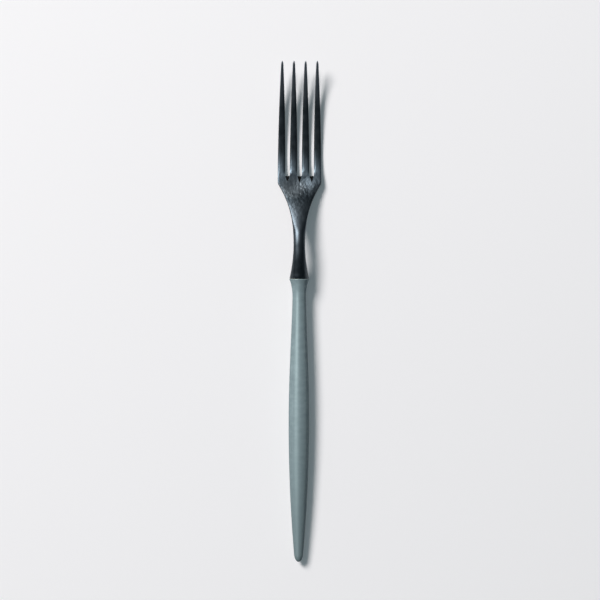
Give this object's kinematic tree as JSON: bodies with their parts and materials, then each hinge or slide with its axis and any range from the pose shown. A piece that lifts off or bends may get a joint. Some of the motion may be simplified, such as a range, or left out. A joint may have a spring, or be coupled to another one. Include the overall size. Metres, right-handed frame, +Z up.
{
  "type": "dinner fork",
  "caption": "Slim dinner fork with a black forged steel head, arched neck and trumpet bolster on a round tapered resin handle, for lifting food at the table.",
  "frame": {"origin": "on the table under the middle of the fork's box, with the fork lying face up", "axes": "+X across the head to the right of the tines seen from above with the tips pointing away, +Y along the fork from the handle's end to the tine tips, +Z up from the table"},
  "size_m": [0.0188, 0.215, 0.0109],
  "materials": {
    "head_steel": "satin black coated steel, brushed along its length",
    "tang_steel": "turned stainless steel",
    "bond_resin": "cured epoxy adhesive",
    "handle_resin": "satin grey-green resin with fine turning rings"
  },
  "bodies": {
    "root": {"fork_head": "head_steel", "tang_pin": "tang_steel", "tang_bond": "bond_resin", "handle": "handle_resin"}
  },
  "joints": []
}
